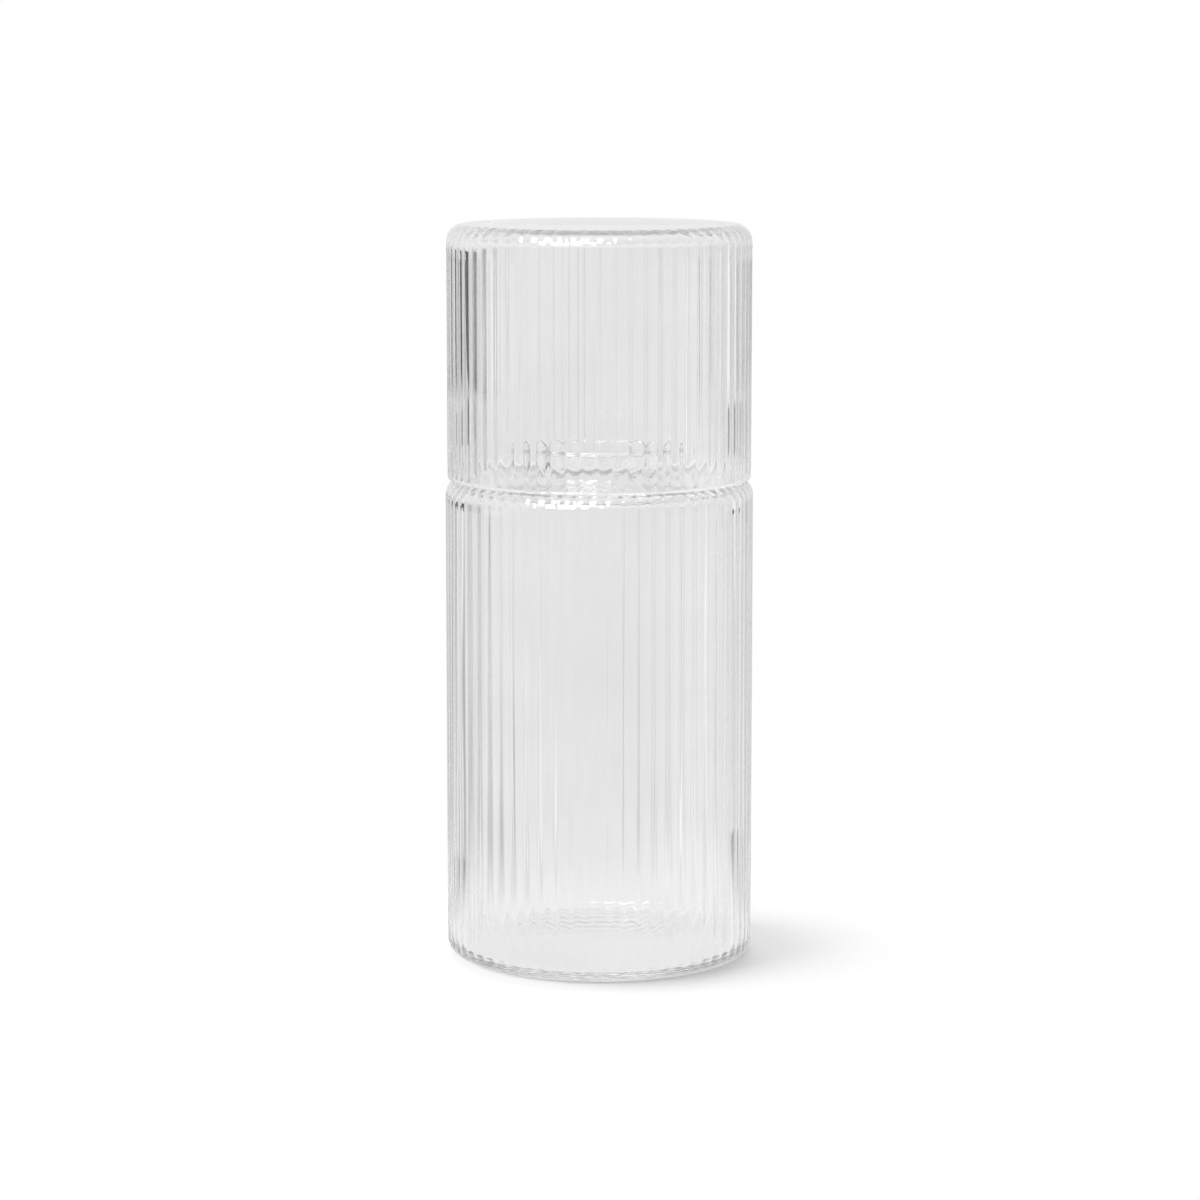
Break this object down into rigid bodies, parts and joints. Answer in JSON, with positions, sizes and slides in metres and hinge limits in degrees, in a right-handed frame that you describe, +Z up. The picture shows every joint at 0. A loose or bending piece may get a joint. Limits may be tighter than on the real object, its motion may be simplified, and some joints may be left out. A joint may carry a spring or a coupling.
{
  "type": "bedside carafe with tumbler",
  "caption": "Straight ribbed clear-glass carafe with a short neck, closed by its own ribbed tumbler, which stands upside down over the neck on the rounded shoulder.",
  "frame": {"origin": "centre of the carafe's foot, on the surface that it stands on", "axes": "+Z up along the common axis of carafe and tumbler, through the neck; +Y away from the viewer of the picture; +X to the viewer's right"},
  "size_m": [0.0872, 0.0872, 0.2082],
  "materials": {
    "carafe_glass": "clear mould-blown glass with vertical ribs",
    "tumbler_glass": "clear mould-blown glass with vertical ribs and a fire-polished rim"
  },
  "bodies": {
    "carafe": {"carafe": "carafe_glass"},
    "tumbler": {"tumbler": "tumbler_glass"}
  },
  "joints": [
    {"name": "tumbler_lift", "type": "slide", "parent": "carafe", "child": "tumbler", "axis": [0, 0, 1], "range_m": [0, 0.08]}
  ]
}
